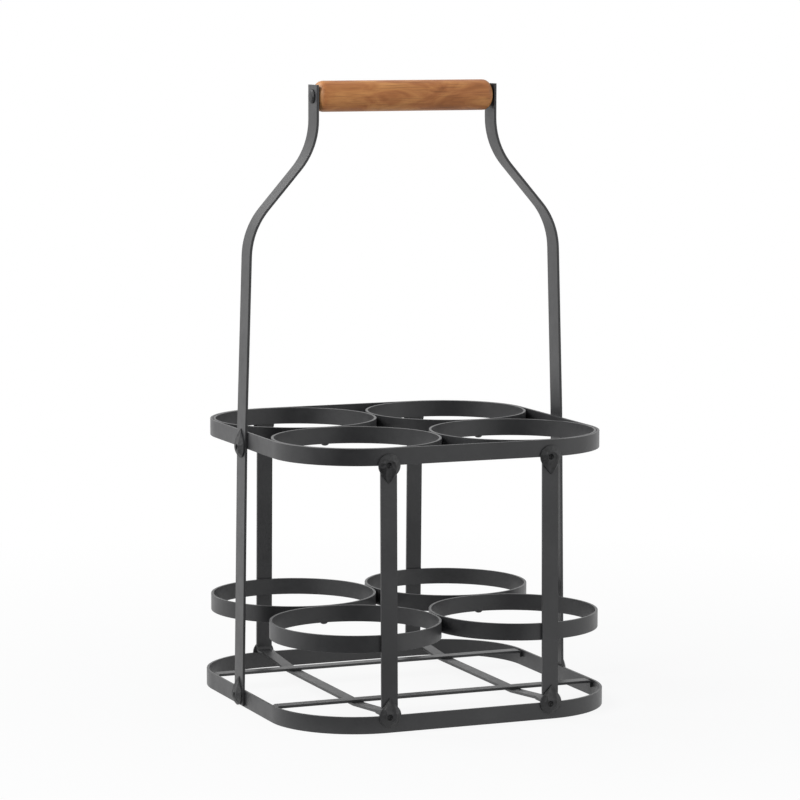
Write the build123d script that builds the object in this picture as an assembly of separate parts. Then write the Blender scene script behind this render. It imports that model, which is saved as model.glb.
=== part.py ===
from build123d import *
from math import acos, cos, pi, sin
import os

# Four-bottle carrier bent and welded from flat black steel strip, with a turning wooden grip.
# Millimetres. The origin is the middle of the footprint on the surface that the carrier stands on.
# +Z is up, the grip runs along X, and the front of the carrier faces -Y.

# Driving dimensions of the steel strip and of what stands in the carrier
strip_width = 9.6
strip_thickness = 1.5
upper_ring_diameter = 95.9
ring_clearance = 0.25

# Levels above the standing surface
top_band_level = 149.0
lower_ring_level = 45.0

# How far posts and handle sides lean in between the base band and the top band
post_lean = 2.1

# Straps: a flat strip bent up into a front post and a back post, narrower across the floor
post_end_gap = 0.1
post_bend_radius = 3.0
joggle_clearance = 1.5
joggle_foot = 9.0
strap_floor_level = 6.5
floor_strip_width = 7.2

# Cross strips that carry the bottles over the straps
cross_tab_drop = 4.2
cross_end_gap = 0.3
cross_bend_radius = 1.5

# Handle sides: upright, leaning in a little, then an S-bend to the grip
side_width = 13.5
side_foot_level = 1.0
side_lean_rise = 4.0
side_lean = 3.4
side_bend_radius = 42.0
side_lean_radius = 100.0
side_lower_bend_level = 273.3
side_upper_bend_level = 319.0
side_top_level = 354.5
side_corner_radius = 1.5
grip_half_span = 55.0

# Wooden grip on its through rod
grip_level = 347.9
grip_diameter = 17.7
grip_end_rounding = 4.5
grip_end_steps = 3
grip_end_gap = 0.35
rod_diameter = 5.0
rod_running_clearance = 0.05
rod_head_diameter = 8.0
rod_head_height = 1.8
rod_head_rim = 0.5
rod_head_bevel = 1.6

# Hammered bosses over the joints
boss_diameter = 13.0
boss_rim = 0.9
boss_blow_rise = 1.3
boss_blow_angle = 49.0
boss_crown_rise = 0.8
boss_crown_angle = 71.0
boss_blows = 9
boss_pip_radius = 0.9
boss_pip_depth = 0.7
boss_pip_angle = 30.0
boss_tail = 3.6
boss_tail_rise = 0.8
boss_tail_angle = 35.0
side_boss_rise = 1.2
side_boss_foot_margin = 0.6

# Spot-weld beads under neighbouring rings
weld_diameter = 4.4
weld_height = 1.2
weld_angle = 40.0
weld_flat_count = 12

# One overrun for cutting tools
overrun = 1.0

# Worked out from the values above
half_strip = strip_thickness / 2
top_half = upper_ring_diameter + 2 * ring_clearance + strip_thickness
base_half = top_half + post_lean
top_band_top = top_band_level + strip_width
lower_ring_top = lower_ring_level + strip_width
strap_seat_level = strip_width
cross_floor_level = strap_floor_level + strip_thickness
boss_radius = boss_diameter / 2
boss_tail_reach = boss_radius + boss_tail


def post_face(level):
    """How far the posts' outer faces stand from the middle at a level."""
    return base_half - post_lean * (level - strip_width) / (top_band_level - strip_width)


def side_plane(level):
    """How far the handle sides' centre planes stand from the middle at a level, below the S-bend."""
    return base_half + half_strip - post_lean * (level - strip_width) / (top_band_top - strip_width)


upper_ring_radius = upper_ring_diameter / 2
lower_ring_radius = (post_face(lower_ring_top) - strip_thickness) / 2 - ring_clearance
upper_ring_place = upper_ring_radius + ring_clearance
band_corner_radius = upper_ring_place + strip_thickness
lower_ring_place = lower_ring_radius + ring_clearance
joggle_start = lower_ring_place + floor_strip_width / 2 + joggle_clearance
joggle_end = base_half - half_strip - joggle_foot

SIDES = {"left": -1, "right": 1}
ENDS = {"front": -1, "back": 1}

parts_folder = "parts"


def save(name, solids, colour):
    """Writes one sub-part; several solids of one kind share a file."""
    solids = list(solids)
    shape = solids[0] if len(solids) == 1 else Compound(children=solids)
    shape.label = name
    shape.color = colour
    export_step(shape, os.path.join(parts_folder, name + ".step"))


def bent_strip(plane, points, radii, width):
    """Sweeps a flat strip's section along a bent centre line that lies in the given plane."""
    line = FilletPolyline(*[plane.from_local_coords(p) for p in points], radius=radii)
    start = Plane(origin=line @ 0, x_dir=plane.z_dir, z_dir=line % 0)
    return sweep(start * Rectangle(width, strip_thickness), path=line).solid()


def band(half, level):
    """A rounded-square hoop of strip on edge."""
    inner = half - strip_thickness
    outline = RectangleRounded(2 * half, 2 * half, band_corner_radius)
    hollow = RectangleRounded(2 * inner, 2 * inner, band_corner_radius - strip_thickness)
    return Pos(0, 0, level) * extrude(outline - hollow, strip_width)


def rings(radius, place, level):
    """Four round hoops of strip on edge, one for each bottle."""
    section = Circle(radius) - Circle(radius - strip_thickness)
    for side in SIDES.values():
        for end in ENDS.values():
            yield (Pos(side * place, end * place, level) * extrude(section, strip_width)).solid()


def strap(side):
    """Front post, floor strip and back post in one bent strip, trimmed narrower across the floor."""
    seat = strap_seat_level + half_strip
    floor = strap_floor_level + half_strip
    top = top_band_level - post_end_gap
    front = [
        (half_strip - post_face(top), top),
        (half_strip - post_face(seat), seat),
        (-joggle_end, seat),
        (-joggle_start, floor),
    ]
    points = front + [(-y, z) for y, z in reversed(front)]
    turns = [post_bend_radius, post_bend_radius, post_bend_radius]
    upright = Plane(origin=(side * lower_ring_place, 0, 0), x_dir=(0, 1, 0), z_dir=(1, 0, 0))
    body = bent_strip(upright, points, turns + turns[::-1], strip_width)
    trim = Box(strip_width, 2 * joggle_end, 2 * (strap_seat_level + strip_thickness + overrun))
    for way in SIDES.values():
        body -= Pos(side * lower_ring_place + way * (floor_strip_width + strip_width) / 2, 0, 0) * trim
    return body.solid()


def cross_strip(end):
    """A floor strip from side to side, with a tab bent down at each end."""
    reach = base_half - strip_thickness - cross_end_gap - half_strip
    level = cross_floor_level + half_strip
    foot = cross_floor_level + strip_thickness - cross_tab_drop
    points = [(-reach, foot), (-reach, level), (reach, level), (reach, foot)]
    upright = Plane(origin=(0, end * lower_ring_place, 0), x_dir=(1, 0, 0), z_dir=(0, -1, 0))
    return bent_strip(upright, points, [cross_bend_radius, cross_bend_radius], floor_strip_width)


def handle_side(side):
    """One side of the handle, outside both bands, drilled for the grip's rod."""
    lean_level = top_band_top + side_lean_rise
    points = [
        (side * side_plane(side_foot_level), side_foot_level),
        (side * side_plane(lean_level), lean_level),
        (side * (side_plane(lean_level) - side_lean), side_lower_bend_level),
        (side * grip_half_span, side_upper_bend_level),
        (side * grip_half_span, side_top_level),
    ]
    upright = Plane(origin=(0, 0, 0), x_dir=(1, 0, 0), z_dir=(0, -1, 0))
    body = bent_strip(upright, points, [side_lean_radius, side_bend_radius, side_bend_radius], side_width)
    ends = body.faces().filter_by(GeomType.PLANE).sort_by(Axis.Z)
    corners = [edge for end in (ends[0], ends[-1]) for edge in end.edges() if edge.length < side_width / 2]
    body = fillet(corners, side_corner_radius)
    hole = Cylinder(rod_diameter / 2 + rod_running_clearance, strip_thickness + 2 * overrun)
    return (body - Pos(side * grip_half_span, 0, grip_level) * Rot(0, 90, 0) * hole).solid()


def grip():
    """Turned wooden grip with rounded ends and a through bore."""
    half_length = grip_half_span - half_strip - grip_end_gap
    radius = grip_diameter / 2
    bore = rod_diameter / 2 + rod_running_clearance
    shoulder = half_length - grip_end_rounding
    turns = [pi / 2 * step / grip_end_steps for step in range(grip_end_steps + 1)]
    rounding = [
        (radius - grip_end_rounding * (1 - cos(turn)), shoulder + grip_end_rounding * sin(turn))
        for turn in turns
    ]
    outline = [(bore, 0), (radius, 0), *rounding, (bore, half_length)]
    profile = make_face(Polyline(*outline, close=True))
    half = revolve(Plane.XZ * profile, Axis.Z)
    return (Pos(0, 0, grip_level) * Rot(0, 90, 0) * (half + mirror(half, Plane.XY))).solid()


def grip_rod():
    """Steel rod through the grip and both handle sides, peened over at each end."""
    seat = grip_half_span + half_strip
    head = Cylinder(rod_head_diameter / 2, rod_head_height, align=(Align.CENTER, Align.CENTER, Align.MIN))
    crown = head.edges().filter_by(GeomType.CIRCLE).sort_by(Axis.Z)[-1]
    head = chamfer(crown, rod_head_height - rod_head_rim, rod_head_bevel)
    body = Cylinder(rod_diameter / 2, 2 * seat)
    body += Pos(0, 0, seat) * head
    body += Pos(0, 0, -seat) * Rot(180, 0, 0) * head
    return (Pos(0, 0, grip_level) * Rot(0, 90, 0) * body).solid()


def tapered(solid, rise, angle):
    """Grows the solid upwards from its top face, leaning in by the angle on every side."""
    return solid + extrude(solid.faces().sort_by(Axis.Z)[-1], rise, taper=angle)


def boss():
    """A low dome with flat hammer blows, a pip and a pointed tail along +Y; its back lies on the XY plane."""
    body = extrude(RegularPolygon(boss_radius, boss_blows), boss_rim)
    body = tapered(body, boss_blow_rise, boss_blow_angle)
    body = tapered(body, boss_crown_rise, boss_crown_angle)
    height = boss_rim + boss_blow_rise + boss_crown_rise
    pip = extrude(RegularPolygon(boss_pip_radius, boss_blows), boss_pip_depth, taper=boss_pip_angle)
    turn = acos(boss_radius / boss_tail_reach)
    shoulder = (boss_radius * sin(turn), boss_radius * cos(turn))
    tail = make_face(Polyline(shoulder, (0, boss_tail_reach), (-shoulder[0], shoulder[1]), close=True))
    body += extrude(tail, boss_tail_rise, taper=boss_tail_angle)
    return (body - Pos(0, 0, height) * Rot(180, 0, 0) * pip).solid()


def post_bosses(level, seat, tail):
    """Bosses on the front and back faces, one over each post's end, their tails up or down the post."""
    for side in SIDES.values():
        for end in ENDS.values():
            origin = (side * lower_ring_place, end * seat, level)
            yield (Plane(origin=origin, x_dir=(-end * tail, 0, 0), z_dir=(0, end, 0)) * boss()).solid()


def side_bosses():
    """Bosses on the outer faces of the handle sides, over both bands, their tails upwards."""
    rise = top_band_top - strip_width
    for side in SIDES.values():
        for level in (boss_radius + side_boss_foot_margin, top_band_level + side_boss_rise):
            origin = (side * (side_plane(level) + half_strip), 0, level)
            face = Plane(origin=origin, x_dir=(0, side, 0), z_dir=(side * rise, 0, post_lean))
            yield (face * boss()).solid()


def weld_beads(place, level):
    """Beads under the lower edges of each pair of neighbouring rings."""
    outline = RegularPolygon(weld_diameter / 2, weld_flat_count)
    bead = Rot(180, 0, 0) * extrude(outline, weld_height, taper=weld_angle)
    for x, y in ((-1, 0), (1, 0), (0, -1), (0, 1)):
        yield (Pos(x * place, y * place, level) * bead).solid()


os.makedirs(parts_folder, exist_ok=True)

steel = Color(0.09, 0.09, 0.095)
forged = Color(0.07, 0.07, 0.075)
timber = Color(0.52, 0.31, 0.16)

save("top_band", [band(top_half, top_band_level)], steel)
save("base_band", [band(base_half, 0)], steel)
save("upper_rings", rings(upper_ring_radius, upper_ring_place, top_band_level), steel)
save("lower_rings", rings(lower_ring_radius, lower_ring_place, lower_ring_level), steel)
for side_name, side in SIDES.items():
    save("strap_" + side_name, [strap(side)], steel)
    save("handle_side_" + side_name, [handle_side(side)], steel)
for end_name, end in ENDS.items():
    save("cross_strip_" + end_name, [cross_strip(end)], steel)
save("grip", [grip()], timber)
save("grip_rod", [grip_rod()], forged)
upper_seat = post_face(top_band_level - boss_tail_reach)
save("post_bosses_upper", post_bosses(top_band_level, upper_seat, -1), forged)
save("post_bosses_lower", post_bosses(strap_seat_level, base_half, 1), forged)
save("side_bosses", side_bosses(), forged)
save("ring_welds_upper", weld_beads(upper_ring_place, top_band_level), steel)
save("ring_welds_lower", weld_beads(lower_ring_place, lower_ring_level), steel)
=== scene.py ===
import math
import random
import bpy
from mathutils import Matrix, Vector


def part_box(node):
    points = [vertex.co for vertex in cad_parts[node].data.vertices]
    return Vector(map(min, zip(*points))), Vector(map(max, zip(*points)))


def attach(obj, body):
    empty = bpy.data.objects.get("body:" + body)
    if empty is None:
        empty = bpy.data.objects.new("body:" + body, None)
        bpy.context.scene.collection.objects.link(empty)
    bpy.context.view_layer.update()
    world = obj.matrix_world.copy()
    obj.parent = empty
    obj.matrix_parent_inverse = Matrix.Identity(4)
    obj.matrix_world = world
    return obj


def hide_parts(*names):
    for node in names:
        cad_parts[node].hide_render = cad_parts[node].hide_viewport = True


bl_info = {
    "name": "Four-bottle carrier",
    "version": (1, 0, 0),
    "blender": (4, 5, 0),
    "location": "3D View > Sidebar > Carrier",
    "description": "Dresses the packed carrier: strip, rings, hammered bosses, grip and studio",
    "category": "Object",
}

import bpy
from bpy.props import FloatProperty, FloatVectorProperty, IntProperty, PointerProperty
from mathutils import Matrix, Vector

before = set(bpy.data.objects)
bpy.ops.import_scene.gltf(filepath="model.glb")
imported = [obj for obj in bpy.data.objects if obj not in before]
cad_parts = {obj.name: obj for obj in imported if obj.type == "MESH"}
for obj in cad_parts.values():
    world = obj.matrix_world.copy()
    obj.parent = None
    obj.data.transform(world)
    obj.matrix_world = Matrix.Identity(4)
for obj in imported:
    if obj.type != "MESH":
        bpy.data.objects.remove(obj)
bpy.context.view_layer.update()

# Sizes read from the frame, in metres
top_low, top_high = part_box("top_band")
base_low, base_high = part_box("base_band")
side_low, side_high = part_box("handle_side_right")
strap_low, strap_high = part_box("strap_right")
cross_low, cross_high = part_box("cross_strip_back")
grip_low, grip_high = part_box("grip")
rod_low, rod_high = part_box("grip_rod")
post_boss_low, post_boss_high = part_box("post_bosses_upper")
base_boss_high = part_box("post_bosses_lower")[1]
side_boss_low, side_boss_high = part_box("side_bosses")
upper_rings_low, upper_rings_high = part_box("upper_rings")
lower_rings_low, lower_rings_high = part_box("lower_rings")
upper_weld_low, upper_weld_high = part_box("ring_welds_upper")
lower_weld_low, lower_weld_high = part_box("ring_welds_lower")

HOOP_WIDTH = base_high[2]
STRAP_WIDTH = strap_high[0] - strap_low[0]
FLOOR_WIDTH = cross_high[1] - cross_low[1]
SIDE_WIDTH = side_high[1] - side_low[1]
TOP_HALF = top_high[0]
BASE_HALF = base_high[0]
TOP_LEVEL = top_low[2]
POST_PLACE = (strap_low[0] + strap_high[0]) / 2
GRIP_LEVEL = (grip_low[2] + grip_high[2]) / 2
GRIP_RADIUS = (grip_high[2] - grip_low[2]) / 2
GRIP_HALF_LENGTH = grip_high[0]
BOSS_RADIUS = (side_boss_high[1] - side_boss_low[1]) / 2
BOSS_HEIGHT = base_boss_high[1] - BASE_HALF
BOSS_REACH = TOP_LEVEL - post_boss_low[2]

# Small sizes, in metres
WELD_RADIUS = 0.0022
ROD_RADIUS = 0.0025
BORE_RADIUS = 0.00255
STRAP_TAPER = 0.0006
FINE_ROUND = 0.0001
ROD_ROUND = 0.00012
END_GRAIN_DEPTH = 0.0028
END_GRAIN_FULL = 0.0002
TOUCH = 0.00001

# A boss: its rises and widths in shares of its height and radius, and its pip in metres
BOSS_RISES = ((0.30, 1.0), (0.43, 0.77), (0.27, 0.60))
BLOW_START = math.radians(60)
BLOW_TILTS = (22, 38)
BLOW_OUT = 0.70
BLOW_UP = 0.73
TAIL_BLOW = (0, 17, 0.76, 0.64)
PIP_RADIUS = 0.0017
PIP_ASIDE = 0.0011
PIP_BACK = 0.0004
PIP_UP = 0.0001

# A rod's head: its widths and rises in shares of its radius and height
HEAD_RISES = ((1.0, 0.35), (0.80, 0.40), (0.45, 0.25))
HEAD_BLOWS = 7
HEAD_BLOW_TILTS = (24, 44)
HEAD_BLOW_OUT = 0.76
HEAD_BLOW_UP = 0.74

# Stage: lamps with their places and sizes, and how far from the middle the floor changes
LAMPS = {
    "Key": ((-1.9, -0.6, 1.3), 1.1),
    "Fill": ((1.7, -1.2, 0.8), 1.2),
    "Back": ((-1.3, 1.2, 1.9), 1.4),
}
LAMP_AIM = Vector((0, 0, 0.17))
FLOOR_SIZE = 40
FLOOR_GREY = 0.56
SHADOW_REACH = (0.15, 0.60)
WHITE_REACH = (0.12, 0.20)
SKY_TINT = (0.93, 0.96, 1.0)
UNLIT = 0.02

RIGID_BODY = "carrier"
TURNING_BODY = "grip"
SIDES = {"left": -1, "right": 1}
ENDS = {"front": -1, "back": 1}


# Settings


class CarrierSizes(bpy.types.PropertyGroup):
    """Sizes that the frame doesn't hold as a box"""

    strip_thickness: FloatProperty(
        name="Strip thickness", description="Thickness of every strip",
        default=0.0015, unit="LENGTH",
    )
    ring_clearance: FloatProperty(
        name="Ring clearance", description="Gap between a ring and its hoop",
        default=0.00025, unit="LENGTH",
    )
    post_bend: FloatProperty(
        name="Post bend", description="Centre-line radius where a strap turns up",
        default=0.003, unit="LENGTH",
    )
    joggle_start: FloatProperty(
        name="Joggle start", description="Where a strap's floor begins to rise",
        default=0.05401, unit="LENGTH",
    )
    joggle_end: FloatProperty(
        name="Joggle end", description="Where a strap's floor has risen to the base band's edge",
        default=0.09025, unit="LENGTH",
    )
    cross_bend: FloatProperty(
        name="Cross bend", description="Centre-line radius of a cross strip's tab",
        default=0.0015, unit="LENGTH",
    )
    side_lean_rise: FloatProperty(
        name="Lean rise", description="How far over the top band a side leans in more",
        default=0.004, unit="LENGTH",
    )
    side_lean: FloatProperty(
        name="Side lean", description="How far a handle side leans in over the top band",
        default=0.0034, unit="LENGTH",
    )
    side_lean_radius: FloatProperty(
        name="Lean radius", description="Centre-line radius of the lean",
        default=0.100, unit="LENGTH",
    )
    side_bend: FloatProperty(
        name="Side bend", description="Centre-line radius of the S-bend",
        default=0.042, unit="LENGTH",
    )
    side_lower_bend_level: FloatProperty(
        name="Lower bend level", description="Corner of the S-bend's lower turn",
        default=0.2733, unit="LENGTH",
    )
    side_upper_bend_level: FloatProperty(
        name="Upper bend level", description="Corner of the S-bend's upper turn",
        default=0.3190, unit="LENGTH",
    )
    edge_round: FloatProperty(
        name="Edge round", description="Rounding of the strip's edges",
        default=0.0002, unit="LENGTH",
    )
    grip_rounding: FloatProperty(
        name="Grip rounding", description="Rounding of the grip's ends",
        default=0.0045, unit="LENGTH",
    )
    boss_blows: IntProperty(
        name="Boss blows", description="Hammer blows around a boss",
        default=8, min=5,
    )


class CarrierFinish(bpy.types.PropertyGroup):
    """Colours and gloss"""

    coat: FloatVectorProperty(
        name="Coat", description="Powder coat on the strip",
        subtype="COLOR", default=(0.019, 0.019, 0.020),
    )
    coat_worn: FloatVectorProperty(
        name="Coat, paler", description="Paler patches in the coat",
        subtype="COLOR", default=(0.029, 0.029, 0.030),
    )
    coat_roughness: FloatProperty(
        name="Coat roughness", description="Satin of the coat",
        default=0.38,
    )
    forged: FloatVectorProperty(
        name="Forged", description="Hammered bosses",
        subtype="COLOR", default=(0.015, 0.015, 0.0155),
    )
    wood_light: FloatVectorProperty(
        name="Wood, light", description="Light wood between the grain",
        subtype="COLOR", default=(0.58, 0.265, 0.084),
    )
    wood_mid: FloatVectorProperty(
        name="Wood, middle", description="Main tone of the wood",
        subtype="COLOR", default=(0.385, 0.141, 0.043),
    )
    wood_dark: FloatVectorProperty(
        name="Wood, dark", description="Dark grain",
        subtype="COLOR", default=(0.25, 0.088, 0.024),
    )
    wood_end: FloatVectorProperty(
        name="Wood, ends", description="End grain",
        subtype="COLOR", default=(0.42, 0.22, 0.085),
    )


class CarrierStage(bpy.types.PropertyGroup):
    """Camera, lamps and background"""

    camera_place: FloatVectorProperty(
        name="Camera", description="Place of the camera",
        subtype="TRANSLATION", default=(-0.76401, -1.82194, 0.40943),
    )
    camera_heading: FloatProperty(
        name="Heading", description="Turn of the view from +Y towards +X",
        default=math.radians(22.71), unit="ROTATION",
    )
    camera_pitch: FloatProperty(
        name="Pitch", description="How far the camera looks down",
        default=math.radians(6.85), unit="ROTATION",
    )
    camera_roll: FloatProperty(
        name="Roll", description="Roll of the camera",
        default=math.radians(0.13), unit="ROTATION",
    )
    camera_lens: FloatProperty(
        name="Lens", description="Focal length in mm on a 36 mm sensor",
        default=154.6,
    )
    key_power: FloatProperty(
        name="Key", description="Lamp from the upper left",
        default=30.0, unit="POWER",
    )
    fill_power: FloatProperty(
        name="Fill", description="Lamp from the right",
        default=8.0, unit="POWER",
    )
    back_power: FloatProperty(
        name="Back", description="Lamp behind on the left",
        default=34.0, unit="POWER",
    )
    gap_side: FloatVectorProperty(
        name="Dark side", description="Side on which the studio is unlit, as gloss shows it",
        subtype="DIRECTION", default=(-0.61, -0.79, 0.0),
    )
    gap_inner: FloatProperty(
        name="Dark gap", description="Half angle of the unlit side",
        default=math.radians(24), unit="ROTATION",
    )
    gap_outer: FloatProperty(
        name="Gap fade", description="Half angle at which the unlit side has faded to white",
        default=math.radians(54), unit="ROTATION",
    )
    sky: FloatProperty(name="Sky", description="Strength of the even light all round", default=0.50)
    floor_white: FloatProperty(
        name="Floor white", description="Share of plain white in the floor under the carrier",
        default=0.90,
    )


# Modelling helpers


def deselect_all():
    """Leaves nothing selected and nothing in edit mode."""
    if bpy.context.object and bpy.context.object.mode != "OBJECT":
        bpy.ops.object.mode_set(mode="OBJECT")
    bpy.ops.object.select_all(action="DESELECT")


def settle(piece, name):
    """Names the new piece and applies its place, so that the object sits at the origin."""
    piece.name = name
    piece.data.name = name
    bpy.ops.object.transform_apply(location=True, rotation=True, scale=True)


def edit(piece):
    """Enters edit mode on the piece with nothing of it selected."""
    bpy.context.view_layer.objects.active = piece
    bpy.ops.object.mode_set(mode="EDIT")
    bpy.ops.mesh.select_all(action="DESELECT")


def object_mode():
    """Leaves edit mode."""
    bpy.ops.object.mode_set(mode="OBJECT")


def extrude(step):
    """Extrudes what is selected by a step."""
    bpy.ops.mesh.extrude_region_move(TRANSFORM_OT_translate={"value": step})


def plane_off(point, normal):
    """Cuts off what stands beyond a plane and closes the cut."""
    bpy.ops.mesh.select_all(action="SELECT")
    bpy.ops.mesh.bisect(plane_co=point, plane_no=normal, use_fill=True, clear_outer=True)


def face_outwards(piece):
    """Turns the closed piece's faces outwards and leaves edit mode."""
    edit(piece)
    bpy.ops.mesh.select_all(action="SELECT")
    bpy.ops.mesh.normals_make_consistent(inside=False)
    object_mode()


def select_faces(piece, test):
    """Selects the faces whose centre and normal pass the test, in edit mode."""
    bpy.ops.mesh.select_mode(type="FACE")
    bpy.ops.mesh.select_all(action="DESELECT")
    object_mode()
    for face in piece.data.polygons:
        face.select = test(face.center, face.normal)
    bpy.ops.object.mode_set(mode="EDIT")


def select_corners(piece, test):
    """Selects the vertices whose place passes the test, in edit mode."""
    bpy.ops.mesh.select_mode(type="VERT")
    bpy.ops.mesh.select_all(action="DESELECT")
    object_mode()
    for corner in piece.data.vertices:
        corner.select = test(corner.co)
    bpy.ops.object.mode_set(mode="EDIT")


def select_edges(piece, test):
    """Selects the edges whose two ends pass the test, in edit mode."""
    bpy.ops.mesh.select_mode(type="EDGE")
    bpy.ops.mesh.select_all(action="DESELECT")
    object_mode()
    for line in piece.data.edges:
        first, second = (piece.data.vertices[i].co for i in line.vertices)
        line.select = test(first, second)
    bpy.ops.object.mode_set(mode="EDIT")


def apply_modifier(piece, kind, name, **values):
    """Adds a modifier with these values and applies it."""
    modifier = piece.modifiers.new(name, kind)
    for key, value in values.items():
        setattr(modifier, key, value)
    bpy.context.view_layer.objects.active = piece
    bpy.ops.object.modifier_apply(modifier=modifier.name)


def round_edges(piece, width):
    """Rounds the sharp edges and shades the piece smooth between them."""
    apply_modifier(
        piece, "BEVEL", "Rounded edges", width=width, segments=2, limit_method="ANGLE",
        angle_limit=math.radians(40), harden_normals=False,
    )
    flatten_shading(piece)


def flatten_shading(piece):
    """Shades the piece smooth between sharp edges, with its large faces kept flat."""
    shade(piece, 38)
    apply_modifier(piece, "WEIGHTED_NORMAL", "Flat faces", keep_sharp=True, weight=80)


def shade(piece, degrees):
    """Shades the piece smooth up to this angle between faces."""
    deselect_all()
    piece.select_set(True)
    bpy.context.view_layer.objects.active = piece
    bpy.ops.object.shade_smooth_by_angle(angle=math.radians(degrees))


def copy_of(piece, name, placement):
    """A copy with its own mesh, moved to its place in the mesh itself."""
    twin = piece.copy()
    twin.data = piece.data.copy()
    twin.name = name
    twin.data.transform(placement)
    bpy.context.collection.objects.link(twin)
    return twin


def joined(pieces, name):
    """Joins the pieces into one object."""
    deselect_all()
    for piece in pieces:
        piece.select_set(True)
    bpy.context.view_layer.objects.active = pieces[0]
    bpy.ops.object.join()
    pieces[0].name = name
    pieces[0].data.name = name
    return pieces[0]


def finish_piece(piece, node, material, body=RIGID_BODY):
    """Gives the piece its material and lets it stand for its node."""
    piece.data.materials.clear()
    piece.data.materials.append(material)
    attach(piece, body)
    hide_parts(node)


def bent_strip(name, points, radii, across, width, rounded=True):
    """A flat strip along a bent centre line: extruded along its runs and spun round its bends."""
    sizes = bpy.context.scene.carrier_sizes
    heading = (points[1] - points[0]).normalized()
    turned = Matrix((across, heading.cross(across), heading)).transposed().to_euler()
    deselect_all()
    bpy.ops.mesh.primitive_plane_add(size=1, location=points[0], rotation=turned)
    strip = bpy.context.object
    strip.scale = (width, sizes.strip_thickness, 1)
    settle(strip, name)
    edit(strip)
    bpy.ops.mesh.select_all(action="SELECT")
    here = points[0]
    for i in range(1, len(points)):
        corner = points[i]
        heading = (corner - here).normalized()
        if i == len(points) - 1:
            extrude(corner - here)
            break
        onward = (points[i + 1] - corner).normalized()
        turn = heading.angle(onward)
        radius = radii[i - 1]
        setback = radius * math.tan(turn / 2)
        start = corner - heading * setback
        extrude(start - here)
        axis = heading.cross(onward).normalized()
        centre = start + axis.cross(heading) * radius
        steps = max(2, round(turn / math.radians(4)))
        bpy.ops.mesh.spin(steps=steps, angle=-turn, center=centre, axis=axis)
        here = corner + onward * setback
    bpy.ops.mesh.select_all(action="SELECT")
    bpy.ops.mesh.remove_doubles(threshold=TOUCH / 10)
    face_outwards(strip)
    if rounded:
        round_edges(strip, sizes.edge_round)
    return strip


def upright_hoop(name, loop, height):
    """Raises an outline into a wall of strip: walled inwards, with rounded edges."""
    sizes = bpy.context.scene.carrier_sizes
    edit(loop)
    bpy.ops.mesh.select_all(action="SELECT")
    extrude((0, 0, height))
    face_outwards(loop)
    apply_modifier(
        loop, "SOLIDIFY", "Strip",
        thickness=sizes.strip_thickness, offset=-1, use_even_offset=True,
    )
    round_edges(loop, sizes.edge_round)
    return loop


def leant(out, away, tilt):
    """A direction tilted from straight out towards away, in degrees."""
    return away * math.sin(math.radians(tilt)) + out * math.cos(math.radians(tilt))


def leaning(level, low_half, low_level, high_half, high_level):
    """The half width at a level of a line that leans from one level to another."""
    return low_half + (high_half - low_half) * (level - low_level) / (high_level - low_level)


def post_face(level):
    """How far the posts' outer faces stand from the middle at a level."""
    return leaning(level, BASE_HALF, HOOP_WIDTH, TOP_HALF, TOP_LEVEL)


def side_face(level):
    """How far the inner faces of the handle sides stand from the middle at a level."""
    return leaning(level, BASE_HALF, HOOP_WIDTH, TOP_HALF, top_high[2])


# Materials


def fresh_material(name):
    """A node material with only its shader and output."""
    material = bpy.data.materials.new(name)
    material.use_nodes = True
    nodes = material.node_tree.nodes
    nodes.clear()
    output = nodes.new("ShaderNodeOutputMaterial")
    shader = nodes.new("ShaderNodeBsdfPrincipled")
    material.node_tree.links.new(shader.outputs["BSDF"], output.inputs["Surface"])
    return material, nodes, material.node_tree.links, shader


def noise(nodes, links, vector, scale, detail, roughness, distortion=0.0):
    """A noise pattern on a vector."""
    texture = nodes.new("ShaderNodeTexNoise")
    texture.inputs["Scale"].default_value = scale
    texture.inputs["Detail"].default_value = detail
    texture.inputs["Roughness"].default_value = roughness
    texture.inputs["Distortion"].default_value = distortion
    links.new(vector, texture.inputs["Vector"])
    return texture.outputs["Fac"]


def ramp(nodes, links, value, stops):
    """A colour ramp through (place, colour) stops."""
    node = nodes.new("ShaderNodeValToRGB")
    while len(node.color_ramp.elements) < len(stops):
        node.color_ramp.elements.new(0.5)
    for element, (place, colour) in zip(node.color_ramp.elements, stops):
        element.position = place
        element.color = (*colour, 1)
    links.new(value, node.inputs["Fac"])
    return node.outputs["Color"]


def spread(nodes, links, value, low, high, span=(0.0, 1.0), ease="LINEAR"):
    """Maps a span of values to low..high."""
    node = nodes.new("ShaderNodeMapRange")
    node.interpolation_type = ease
    node.inputs["From Min"].default_value, node.inputs["From Max"].default_value = span
    node.inputs["To Min"].default_value = low
    node.inputs["To Max"].default_value = high
    links.new(value, node.inputs["Value"])
    return node.outputs["Result"]


def mixed(nodes, links, share, first, second, blend="MIX"):
    """A share of the second colour over the first; each is an output or a plain value."""
    node = nodes.new("ShaderNodeMix")
    node.data_type = "RGBA"
    node.blend_type = blend
    for socket, value in (("Factor", share), ("A", first), ("B", second)):
        if isinstance(value, bpy.types.NodeSocket):
            links.new(value, node.inputs[socket])
        else:
            node.inputs[socket].default_value = value
    return node.outputs["Result"]


def worked_out(nodes, links, operation, *values):
    """One sum on outputs."""
    node = nodes.new("ShaderNodeMath")
    node.operation = operation
    for socket, value in zip(node.inputs, values):
        links.new(value, socket)
    return node.outputs["Value"]


def laid(nodes, links, place, scale, rotation=(0.0, 0.0, 0.0), shift=(0.0, 0.0)):
    """A place stretched and turned about the grip's axis."""
    node = nodes.new("ShaderNodeMapping")
    node.inputs["Location"].default_value = (*shift, -GRIP_LEVEL)
    node.inputs["Rotation"].default_value = rotation
    node.inputs["Scale"].default_value = scale
    links.new(place, node.inputs["Vector"])
    return node.outputs["Vector"]


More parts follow.
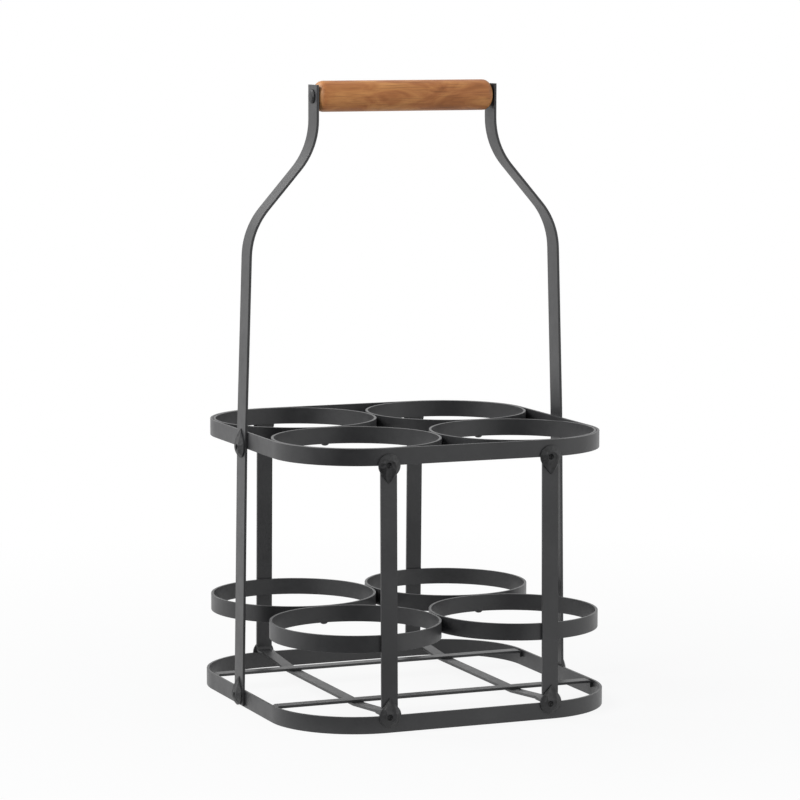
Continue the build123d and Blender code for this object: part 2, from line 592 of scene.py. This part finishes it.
def bump(nodes, links, height, distance, strength, below=None):
    """A normal raised by a pattern, over another normal if there is one below."""
    node = nodes.new("ShaderNodeBump")
    node.inputs["Distance"].default_value = distance
    node.inputs["Strength"].default_value = strength
    links.new(height, node.inputs["Height"])
    if below is not None:
        links.new(below, node.inputs["Normal"])
    return node.outputs["Normal"]


def powder_coat():
    """Satin anthracite powder coat: a fine sandy skin over rolled strip."""
    look = bpy.context.scene.carrier_finish
    material, nodes, links, shader = fresh_material("Powder coat")
    place = nodes.new("ShaderNodeTexCoord").outputs["Object"]
    patches = noise(nodes, links, place, scale=38.0, detail=4.0, roughness=0.6)
    colour = ramp(nodes, links, patches, [(0.35, look.coat), (0.70, look.coat_worn)])
    links.new(colour, shader.inputs["Base Color"])
    sand = noise(nodes, links, place, scale=1500.0, detail=2.0, roughness=0.6)
    rolled = noise(nodes, links, place, scale=160.0, detail=3.0, roughness=0.55)
    low = look.coat_roughness - 0.06
    high = look.coat_roughness + 0.10
    links.new(spread(nodes, links, rolled, low, high), shader.inputs["Roughness"])
    skin = bump(nodes, links, rolled, distance=0.00025, strength=0.25)
    grain = bump(nodes, links, sand, distance=0.00006, strength=0.55, below=skin)
    links.new(grain, shader.inputs["Normal"])
    shader.inputs["Specular IOR Level"].default_value = 0.55
    return material


def forged_coat():
    """The same coat over hammered metal, with painted shade: darker in the dents of its bump
    pattern and paler on the ridges between them.
    """
    look = bpy.context.scene.carrier_finish
    material, nodes, links, shader = fresh_material("Forged coat")
    place = nodes.new("ShaderNodeTexCoord").outputs["Object"]
    blows = nodes.new("ShaderNodeTexVoronoi")
    blows.inputs["Scale"].default_value = 420.0
    links.new(place, blows.inputs["Vector"])
    dents_and_painted_shade = blows.outputs["Distance"]
    # Painted shade and painted light: the coat is darker where the bump dips and paler on the
    # ridges between the dents.
    dark = tuple(0.7 * c for c in look.forged)
    light = tuple(1.4 * c for c in look.forged)
    links.new(ramp(nodes, links, dents_and_painted_shade, [(0.1, dark), (0.6, light)]), shader.inputs["Base Color"])
    grit = noise(nodes, links, place, scale=1300.0, detail=3.0, roughness=0.6)
    links.new(spread(nodes, links, grit, 0.38, 0.58), shader.inputs["Roughness"])
    hollow = bump(nodes, links, dents_and_painted_shade, distance=0.0005, strength=0.4)
    skin = bump(nodes, links, grit, distance=0.00006, strength=0.5, below=hollow)
    links.new(skin, shader.inputs["Normal"])
    shader.inputs["Specular IOR Level"].default_value = 0.40
    return material


def oiled_wood():
    """Oiled hardwood: long figure along the grip, pores, and paler end grain."""
    look = bpy.context.scene.carrier_finish
    material, nodes, links, shader = fresh_material("Oiled wood")
    place = nodes.new("ShaderNodeTexCoord").outputs["Object"]
    slant = (0.2, math.radians(9), math.radians(6))
    along = laid(nodes, links, place, (15.0, 40.0, 40.0), slant, shift=(0.013, 0.004))
    figure = noise(nodes, links, along, scale=2.1, detail=5.0, roughness=0.56, distortion=1.5)
    tones = [(0.28, look.wood_dark), (0.46, look.wood_mid), (0.72, look.wood_light)]
    tone = ramp(nodes, links, figure, tones)
    fine = laid(nodes, links, place, (40.0, 900.0, 900.0), (0.0, math.radians(5), 0.0))
    pores = noise(nodes, links, fine, scale=1.4, detail=2.0, roughness=0.5)
    pore_tone = ramp(nodes, links, pores, [(0.30, (0.62, 0.60, 0.58)), (0.48, (1.0, 1.0, 1.0))])
    grained = mixed(nodes, links, 0.75, tone, pore_tone, blend="MULTIPLY")
    split = nodes.new("ShaderNodeSeparateXYZ")
    links.new(place, split.inputs["Vector"])
    reach = worked_out(nodes, links, "ABSOLUTE", split.outputs["X"])
    ends = (GRIP_HALF_LENGTH - END_GRAIN_DEPTH, GRIP_HALF_LENGTH - END_GRAIN_FULL)
    end_share = spread(nodes, links, reach, 0.0, 0.7, span=ends)
    ended = mixed(nodes, links, end_share, grained, (*look.wood_end, 1))
    links.new(ended, shader.inputs["Base Color"])
    links.new(spread(nodes, links, figure, 0.56, 0.42), shader.inputs["Roughness"])
    grain = bump(nodes, links, pores, distance=0.0001, strength=0.35)
    surface = bump(nodes, links, figure, distance=0.0004, strength=0.3, below=grain)
    links.new(surface, shader.inputs["Normal"])
    shader.inputs["Specular IOR Level"].default_value = 0.32
    return material


def material_named(name, maker):
    """The finished material, made on first use."""
    return bpy.data.materials.get(name) or maker()


# Pieces


class CARRIER_OT_bands(bpy.types.Operator):
    """Model the two rounded-square hoops"""

    bl_idname = "carrier.bands"
    bl_label = "Bands"

    def execute(self, context):
        sizes = context.scene.carrier_sizes
        coat = material_named("Powder coat", powder_coat)
        corner = (TOP_HALF + sizes.strip_thickness + sizes.ring_clearance) / 2
        bands = {"top_band": (TOP_HALF, TOP_LEVEL), "base_band": (BASE_HALF, base_low[2])}
        for node, (half, level) in bands.items():
            deselect_all()
            bpy.ops.mesh.primitive_plane_add(size=2 * half, location=(0, 0, level))
            loop = context.object
            settle(loop, node + "_piece")
            edit(loop)
            bpy.ops.mesh.select_all(action="SELECT")
            bpy.ops.mesh.bevel(offset=corner, segments=28, affect="VERTICES", offset_type="OFFSET")
            bpy.ops.mesh.select_all(action="SELECT")
            bpy.ops.mesh.delete(type="ONLY_FACE")
            object_mode()
            finish_piece(upright_hoop(node, loop, HOOP_WIDTH), node, coat)
        return {"FINISHED"}


class CARRIER_OT_rings(bpy.types.Operator):
    """Model a bottle ring for each level and set its four copies"""

    bl_idname = "carrier.rings"
    bl_label = "Rings"

    def execute(self, context):
        sizes = context.scene.carrier_sizes
        coat = material_named("Powder coat", powder_coat)
        boxes = {
            "upper_rings": (upper_rings_low, upper_rings_high),
            "lower_rings": (lower_rings_low, lower_rings_high),
        }
        for node, (low, high) in boxes.items():
            radius = high[0] / 2 - sizes.ring_clearance / 2
            place = high[0] - radius
            deselect_all()
            bpy.ops.mesh.primitive_circle_add(vertices=144, radius=radius, location=(0, 0, low[2]))
            loop = context.object
            settle(loop, node + "_loop")
            ring = upright_hoop(node, loop, HOOP_WIDTH)
            copies = []
            for side in SIDES.values():
                for end in ENDS.values():
                    placement = Matrix.Translation((side * place, end * place, 0))
                    copies.append(copy_of(ring, node + "_copy", placement))
            bpy.data.objects.remove(ring)
            finish_piece(joined(copies, node + "_piece"), node, coat)
        return {"FINISHED"}


class CARRIER_OT_straps(bpy.types.Operator):
    """Bend the two straps that are posts and floor in one"""

    bl_idname = "carrier.straps"
    bl_label = "Straps"

    def execute(self, context):
        sizes = context.scene.carrier_sizes
        coat = material_named("Powder coat", powder_coat)
        half = sizes.strip_thickness / 2
        seat = HOOP_WIDTH + half
        floor = strap_low[2] + half
        top = strap_high[2]
        for side_name, side in SIDES.items():
            x = side * POST_PLACE
            front = [
                Vector((x, half - post_face(top), top)),
                Vector((x, half - post_face(seat), seat)),
                Vector((x, -sizes.joggle_end, seat)),
                Vector((x, -sizes.joggle_start, floor)),
            ]
            points = front + [Vector((x, -p.y, p.z)) for p in reversed(front)]
            node = "strap_" + side_name
            strap = bent_strip(
                node + "_piece", points, [sizes.post_bend] * 6, Vector((1, 0, 0)), STRAP_WIDTH,
                rounded=False,
            )
            self.narrow(strap, x, sizes.joggle_end)
            round_edges(strap, sizes.edge_round)
            finish_piece(strap, node, coat)
        return {"FINISHED"}

    def narrow(self, strap, x, reach):
        """Trims the strap's floor to the cross strips' width, up to the feet of its posts."""
        edit(strap)
        for y in (-reach - STRAP_TAPER, -reach, reach, reach + STRAP_TAPER):
            bpy.ops.mesh.select_all(action="SELECT")
            bpy.ops.mesh.bisect(plane_co=(x, y, 0), plane_no=(0, 1, 0))
        select_corners(strap, lambda place: abs(place.y) < reach + TOUCH)
        bpy.ops.transform.resize(
            value=(FLOOR_WIDTH / STRAP_WIDTH, 1, 1), center_override=(x, 0, 0)
        )
        object_mode()


class CARRIER_OT_cross_strips(bpy.types.Operator):
    """Bend the two cross strips with their tabs"""

    bl_idname = "carrier.cross_strips"
    bl_label = "Cross strips"

    def execute(self, context):
        sizes = context.scene.carrier_sizes
        coat = material_named("Powder coat", powder_coat)
        half = sizes.strip_thickness / 2
        reach = cross_high[0] - half
        level = cross_high[2] - half
        for end_name, end in ENDS.items():
            y = end * POST_PLACE
            points = [
                Vector((-reach, y, cross_low[2])),
                Vector((-reach, y, level)),
                Vector((reach, y, level)),
                Vector((reach, y, cross_low[2])),
            ]
            node = "cross_strip_" + end_name
            strip = bent_strip(
                node + "_piece", points, [sizes.cross_bend] * 2, Vector((0, 1, 0)), FLOOR_WIDTH
            )
            finish_piece(strip, node, coat)
        return {"FINISHED"}


class CARRIER_OT_handle_sides(bpy.types.Operator):
    """Bend the two handle sides through their S-bends"""

    bl_idname = "carrier.handle_sides"
    bl_label = "Handle sides"

    def execute(self, context):
        sizes = context.scene.carrier_sizes
        coat = material_named("Powder coat", powder_coat)
        half = sizes.strip_thickness / 2
        span = side_low[0] + half
        lean_level = top_high[2] + sizes.side_lean_rise
        lean_plane = side_face(lean_level) + half
        radii = [sizes.side_lean_radius, sizes.side_bend, sizes.side_bend]
        for side_name, side in SIDES.items():
            points = [
                Vector((side * (side_face(side_low[2]) + half), 0, side_low[2])),
                Vector((side * lean_plane, 0, lean_level)),
                Vector((side * (lean_plane - sizes.side_lean), 0, sizes.side_lower_bend_level)),
                Vector((side * span, 0, sizes.side_upper_bend_level)),
                Vector((side * span, 0, side_high[2])),
            ]
            node = "handle_side_" + side_name
            strip = bent_strip(node + "_piece", points, radii, Vector((0, 1, 0)), SIDE_WIDTH)
            finish_piece(strip, node, coat)
        return {"FINISHED"}


class CARRIER_OT_grip(bpy.types.Operator):
    """Turn the wooden grip and bore it through"""

    bl_idname = "carrier.grip"
    bl_label = "Grip"

    def execute(self, context):
        sizes = context.scene.carrier_sizes
        deselect_all()
        bpy.ops.mesh.primitive_cylinder_add(
            vertices=96, radius=GRIP_RADIUS, depth=2 * GRIP_HALF_LENGTH,
            location=(0, 0, GRIP_LEVEL), rotation=(0, math.pi / 2, 0),
        )
        grip = context.object
        settle(grip, "grip_piece")
        edit(grip)
        select_edges(grip, lambda a, b: abs(a.x - b.x) < TOUCH)
        bpy.ops.mesh.bevel(offset=sizes.grip_rounding, segments=8, profile=0.5)
        end = GRIP_HALF_LENGTH - TOUCH
        select_faces(grip, lambda centre, normal: abs(normal.x) > 0.99 and abs(centre.x) > end)
        flat_radius = GRIP_RADIUS - sizes.grip_rounding
        bpy.ops.mesh.inset(thickness=flat_radius - BORE_RADIUS)
        bpy.ops.mesh.bridge_edge_loops()
        face_outwards(grip)
        shade(grip, 40)
        wood = material_named("Oiled wood", oiled_wood)
        finish_piece(grip, "grip", wood, TURNING_BODY)
        return {"FINISHED"}


class CARRIER_OT_bosses(bpy.types.Operator):
    """Hammer one boss and set its twelve copies"""

    bl_idname = "carrier.bosses"
    bl_label = "Bosses"

    def execute(self, context):
        sizes = context.scene.carrier_sizes
        forged = material_named("Forged coat", forged_coat)
        downward = self.hammered(sizes.boss_blows, PIP_ASIDE)
        upward = self.hammered(sizes.boss_blows, -PIP_ASIDE)
        turns = random.Random(7)
        groups = {
            "post_bosses_upper": (downward, post_boss_high[1] - BOSS_HEIGHT, TOP_LEVEL, -1),
            "post_bosses_lower": (upward, BASE_HALF, HOOP_WIDTH, 1),
        }
        for node, (boss, face, level, tail) in groups.items():
            copies = []
            for side in SIDES.values():
                for end in ENDS.values():
                    seat = Vector((side * POST_PLACE, end * face, level))
                    out, up = Vector((0, end, 0)), Vector((0, 0, tail))
                    placement = self.against(seat, out, up, turns)
                    copies.append(copy_of(boss, node + "_copy", placement))
            finish_piece(joined(copies, node + "_piece"), node, forged)
        lean = math.atan2(BASE_HALF - TOP_HALF, top_high[2] - HOOP_WIDTH)
        levels = (
            side_boss_low[2] + BOSS_RADIUS * math.cos(lean),
            side_boss_high[2] - BOSS_REACH * math.cos(lean),
        )
        copies = []
        for side in SIDES.values():
            out = Vector((side * math.cos(lean), 0, math.sin(lean)))
            up = Vector((-side * math.sin(lean), 0, math.cos(lean)))
            for level in levels:
                seat = Vector((side * (side_face(level) + sizes.strip_thickness), 0, level))
                placement = self.against(seat, out, up, turns)
                copies.append(copy_of(downward, "side_bosses_copy", placement))
        finish_piece(joined(copies, "side_bosses_piece"), "side_bosses", forged)
        bpy.data.objects.remove(downward)
        bpy.data.objects.remove(upward)
        return {"FINISHED"}

    def against(self, seat, out, up, turns):
        """Lays a boss's back against a face, its tail up or down it, a little askew as by hand."""
        askew = Matrix.Rotation(math.radians(turns.uniform(-5, 5)), 4, "Z")
        standing = Matrix((up.cross(out), up, out)).transposed().to_4x4()
        return Matrix.Translation(seat) @ standing @ askew

    def hammered(self, count, pip_aside):
        """A disc drawn out to a tail and raised to a crown, with flat blows and a punched pip."""
        deselect_all()
        bpy.ops.mesh.primitive_circle_add(vertices=48, radius=BOSS_RADIUS, fill_type="NGON")
        boss = bpy.context.object
        settle(boss, "boss_piece")
        edit(boss)
        turn = math.acos(BOSS_RADIUS / BOSS_REACH)
        select_corners(boss, lambda place: 1e-4 < abs(math.atan2(place.x, place.y)) < turn)
        bpy.ops.mesh.dissolve_verts()
        select_corners(boss, lambda place: place.y > BOSS_RADIUS * 0.9999)
        bpy.ops.transform.translate(value=(0, BOSS_REACH - BOSS_RADIUS, 0))
        bpy.ops.mesh.select_mode(type="FACE")
        bpy.ops.mesh.select_all(action="SELECT")
        for rise, share in BOSS_RISES:
            extrude((0, 0, BOSS_HEIGHT * rise))
            bpy.ops.transform.resize(value=(share, share, 1), center_override=(0, 0, 0))
        for around, tilt, out, up in self.blows(count):
            away = Vector((math.sin(around), math.cos(around), 0))
            place = away * BOSS_RADIUS * out + Vector((0, 0, BOSS_HEIGHT * up))
            plane_off(place, leant(Vector((0, 0, 1)), away, tilt))
        object_mode()
        round_edges(boss, FINE_ROUND)
        self.punch(boss, pip_aside)
        face_outwards(boss)
        flatten_shading(boss)
        shade(boss, 12)
        return boss

    def blows(self, count):
        """The blows round the crown and the one along the tail: turn, tilt, and place in shares."""
        chance = random.Random(3)
        blows = []
        for i in range(count):
            around = BLOW_START + (math.tau - 2 * BLOW_START) * i / (count - 1)
            around += chance.uniform(-0.12, 0.12)
            tilt = chance.uniform(*BLOW_TILTS)
            blows.append((around, tilt, BLOW_OUT + chance.uniform(-0.03, 0.03), BLOW_UP))
        return blows + [TAIL_BLOW]

    def punch(self, boss, aside):
        """Punches the pip into the crown, a little to one side."""
        deselect_all()
        bpy.ops.mesh.primitive_uv_sphere_add(
            segments=24, ring_count=12, radius=PIP_RADIUS,
            location=(aside, -PIP_BACK, BOSS_HEIGHT + PIP_UP),
        )
        punch = bpy.context.object
        settle(punch, "boss_punch")
        apply_modifier(
            boss, "BOOLEAN", "Punched pip", object=punch, operation="DIFFERENCE", solver="EXACT"
        )
        bpy.data.objects.remove(punch)


class CARRIER_OT_rod(bpy.types.Operator):
    """Turn the rod and peen its heads"""

    bl_idname = "carrier.rod"
    bl_label = "Rod"

    def execute(self, context):
        seat = side_low[0] + context.scene.carrier_sizes.strip_thickness
        head = rod_high[0] - seat
        head_radius = (rod_high[2] - rod_low[2]) / 2
        deselect_all()
        bpy.ops.mesh.primitive_cylinder_add(
            vertices=48, radius=ROD_RADIUS, depth=2 * seat,
            location=(0, 0, GRIP_LEVEL), rotation=(0, math.pi / 2, 0),
        )
        rod = context.object
        settle(rod, "grip_rod_piece")
        steps = ((head_radius / ROD_RADIUS, 0.0), *HEAD_RISES)
        for side in SIDES.values():
            edit(rod)
            select_faces(rod, lambda centre, normal: normal.x * side > 0.99 and centre.x * side > 0)
            for scale, run in steps:
                extrude((side * head * run, 0, 0))
                bpy.ops.transform.resize(
                    value=(1, scale, scale), center_override=(0, 0, GRIP_LEVEL)
                )
            object_mode()
        edit(rod)
        chance = random.Random(11)
        for side in SIDES.values():
            middle = Vector((side * (seat + HEAD_BLOW_UP * head), 0, GRIP_LEVEL))
            for i in range(HEAD_BLOWS):
                around = math.tau * i / HEAD_BLOWS + chance.uniform(-0.2, 0.2)
                tilt = chance.uniform(*HEAD_BLOW_TILTS)
                away = Vector((0, math.cos(around), math.sin(around)))
                place = middle + away * head_radius * HEAD_BLOW_OUT
                plane_off(place, leant(Vector((side, 0, 0)), away, tilt))
        face_outwards(rod)
        round_edges(rod, ROD_ROUND)
        shade(rod, 16)
        forged = material_named("Forged coat", forged_coat)
        finish_piece(rod, "grip_rod", forged)
        return {"FINISHED"}


class CARRIER_OT_welds(bpy.types.Operator):
    """Lay the small beads under neighbouring rings"""

    bl_idname = "carrier.welds"
    bl_label = "Weld beads"

    def execute(self, context):
        coat = material_named("Powder coat", powder_coat)
        boxes = {
            "ring_welds_upper": (upper_weld_low, upper_weld_high),
            "ring_welds_lower": (lower_weld_low, lower_weld_high),
        }
        for node, (low, high) in boxes.items():
            place = high[0] - WELD_RADIUS
            copies = []
            for x, y in ((-1, 0), (1, 0), (0, -1), (0, 1)):
                deselect_all()
                bpy.ops.mesh.primitive_uv_sphere_add(
                    segments=24, ring_count=16, radius=WELD_RADIUS,
                    location=(x * place, y * place, high[2]),
                )
                bead = context.object
                bead.scale = (1, 1, (high[2] - low[2]) / WELD_RADIUS)
                settle(bead, node + "_bead")
                edit(bead)
                plane_off((0, 0, high[2]), (0, 0, 1))
                object_mode()
                round_edges(bead, FINE_ROUND)
                copies.append(bead)
            finish_piece(joined(copies, node + "_piece"), node, coat)
        return {"FINISHED"}


# Stage


def vector_math(nodes, links, operation, vector):
    """One vector sum on an output."""
    node = nodes.new("ShaderNodeVectorMath")
    node.operation = operation
    links.new(vector, node.inputs[0])
    return node


def dark_gap(nodes, links, direction, stage):
    """White all round but for the unlit side of the studio, which the camera doesn't see."""
    toward = vector_math(nodes, links, "DOT_PRODUCT", direction)
    toward.inputs[1].default_value = Vector(stage.gap_side).normalized()
    span = (math.cos(stage.gap_outer), math.cos(stage.gap_inner))
    gap = spread(nodes, links, toward.outputs["Value"], 0.0, 1.0, span=span, ease="SMOOTHSTEP")
    room = mixed(nodes, links, gap, (1, 1, 1, 1), (UNLIT, UNLIT, UNLIT, 1))
    seen = nodes.new("ShaderNodeLightPath").outputs["Is Camera Ray"]
    return mixed(nodes, links, seen, room, (1, 1, 1, 1))


def white_to_camera(nodes, links, plain, white, share=None):
    """Mixes white, or a share of it, into what the camera, gloss and glass see."""
    path = nodes.new("ShaderNodeLightPath")
    seen = worked_out(
        nodes, links, "MAXIMUM", path.outputs["Is Camera Ray"], path.outputs["Is Glossy Ray"]
    )
    seen = worked_out(nodes, links, "MAXIMUM", seen, path.outputs["Is Transmission Ray"])
    if share is not None:
        seen = worked_out(nodes, links, "MULTIPLY", seen, share)
    mix = nodes.new("ShaderNodeMixShader")
    links.new(seen, mix.inputs["Fac"])
    links.new(plain, mix.inputs[1])
    links.new(white, mix.inputs[2])
    return mix.outputs["Shader"]


class CARRIER_OT_stage(bpy.types.Operator):
    """Set the pale floor, the lamps, the sky and the camera"""

    bl_idname = "carrier.stage"
    bl_label = "Stage"

    def execute(self, context):
        stage = context.scene.carrier_stage
        self.floor(stage)
        self.sky(context, stage)
        powers = {"Key": stage.key_power, "Fill": stage.fill_power, "Back": stage.back_power}
        for name, (place, size) in LAMPS.items():
            self.lamp(name, place, size, powers[name])
        self.camera(context, stage)
        context.scene.view_settings.view_transform = "Standard"
        return {"FINISHED"}

    def floor(self, stage):
        """A pale floor that fades to white away from the carrier, and keeps its shadow."""
        deselect_all()
        bpy.ops.mesh.primitive_plane_add(size=FLOOR_SIZE, location=(0, 0, 0))
        floor = bpy.context.object
        floor.name = "floor"
        material, nodes, links, shader = fresh_material("Pale floor")
        shader.inputs["Base Color"].default_value = (FLOOR_GREY, FLOOR_GREY, FLOOR_GREY, 1)
        shader.inputs["Roughness"].default_value = 0.9
        shader.inputs["Specular IOR Level"].default_value = 0.1
        place = nodes.new("ShaderNodeTexCoord").outputs["Object"]
        outward = vector_math(nodes, links, "NORMALIZE", place).outputs["Vector"]
        away = vector_math(nodes, links, "LENGTH", place).outputs["Value"]
        near = spread(nodes, links, away, 0.0, 1.0, span=WHITE_REACH)
        unlit = dark_gap(nodes, links, outward, stage)
        white = nodes.new("ShaderNodeEmission")
        links.new(mixed(nodes, links, near, (1, 1, 1, 1), unlit), white.inputs["Color"])
        fade = spread(nodes, links, away, stage.floor_white, 1.0, span=SHADOW_REACH)
        shown = white_to_camera(
            nodes, links, shader.outputs["BSDF"], white.outputs["Emission"], fade
        )
        output = next(n for n in nodes if n.type == "OUTPUT_MATERIAL")
        links.new(shown, output.inputs["Surface"])
        floor.data.materials.append(material)

    def sky(self, context, stage):
        """An even light all round, white to the camera."""
        world = bpy.data.worlds.new("Studio")
        context.scene.world = world
        world.use_nodes = True
        nodes, links = world.node_tree.nodes, world.node_tree.links
        nodes.clear()
        plain = nodes.new("ShaderNodeBackground")
        plain.inputs["Color"].default_value = (*SKY_TINT, 1)
        plain.inputs["Strength"].default_value = stage.sky
        white = nodes.new("ShaderNodeBackground")
        direction = nodes.new("ShaderNodeTexCoord").outputs["Generated"]
        links.new(dark_gap(nodes, links, direction, stage), white.inputs["Color"])
        shown = white_to_camera(
            nodes, links, plain.outputs["Background"], white.outputs["Background"]
        )
        output = nodes.new("ShaderNodeOutputWorld")
        links.new(shown, output.inputs["Surface"])

    def lamp(self, name, place, size, power):
        """A round soft lamp that faces the carrier."""
        data = bpy.data.lights.new(name, "AREA")
        data.shape = "DISK"
        data.size = size
        data.energy = power
        lamp = bpy.data.objects.new(name, data)
        lamp.location = place
        lamp.rotation_euler = (LAMP_AIM - lamp.location).to_track_quat("-Z", "Y").to_euler()
        bpy.context.collection.objects.link(lamp)

    def camera(self, context, stage):
        """The camera in the photograph's place."""
        data = bpy.data.cameras.new("Camera")
        data.sensor_width = 36
        data.lens = stage.camera_lens
        data.clip_end = 100
        camera = bpy.data.objects.new("Camera", data)
        looking = Matrix.Rotation(-stage.camera_heading, 4, "Z")
        looking @= Matrix.Rotation(math.pi / 2 - stage.camera_pitch, 4, "X")
        looking @= Matrix.Rotation(stage.camera_roll, 4, "Z")
        camera.matrix_world = Matrix.Translation(stage.camera_place) @ looking
        context.collection.objects.link(camera)
        context.scene.camera = camera


class CARRIER_PT_panel(bpy.types.Panel):
    """Sizes, finishes and steps of the carrier"""

    bl_label = "Bottle carrier"
    bl_idname = "CARRIER_PT_panel"
    bl_space_type = "VIEW_3D"
    bl_region_type = "UI"
    bl_category = "Carrier"

    def draw(self, context):
        for step in STEPS:
            self.layout.operator(step.bl_idname)
        for group in ("carrier_sizes", "carrier_finish", "carrier_stage"):
            settings = getattr(context.scene, group)
            column = self.layout.column()
            for name in settings.__annotations__:
                column.prop(settings, name)


STEPS = (
    CARRIER_OT_stage,
    CARRIER_OT_bands,
    CARRIER_OT_rings,
    CARRIER_OT_straps,
    CARRIER_OT_cross_strips,
    CARRIER_OT_handle_sides,
    CARRIER_OT_grip,
    CARRIER_OT_rod,
    CARRIER_OT_bosses,
    CARRIER_OT_welds,
)
GROUPS = {
    "carrier_sizes": CarrierSizes,
    "carrier_finish": CarrierFinish,
    "carrier_stage": CarrierStage,
}


def register():
    for name, group in GROUPS.items():
        bpy.utils.register_class(group)
        setattr(bpy.types.Scene, name, PointerProperty(type=group))
    for step in STEPS:
        bpy.utils.register_class(step)
    bpy.utils.register_class(CARRIER_PT_panel)


def unregister():
    bpy.utils.unregister_class(CARRIER_PT_panel)
    for step in reversed(STEPS):
        bpy.utils.unregister_class(step)
    for name, group in GROUPS.items():
        delattr(bpy.types.Scene, name)
        bpy.utils.unregister_class(group)


def main():
    register()
    bpy.ops.carrier.stage()
    bpy.ops.carrier.bands()
    bpy.ops.carrier.rings()
    bpy.ops.carrier.straps()
    bpy.ops.carrier.cross_strips()
    bpy.ops.carrier.handle_sides()
    bpy.ops.carrier.grip()
    bpy.ops.carrier.rod()
    bpy.ops.carrier.bosses()
    bpy.ops.carrier.welds()


if __name__ == "__main__":
    main()
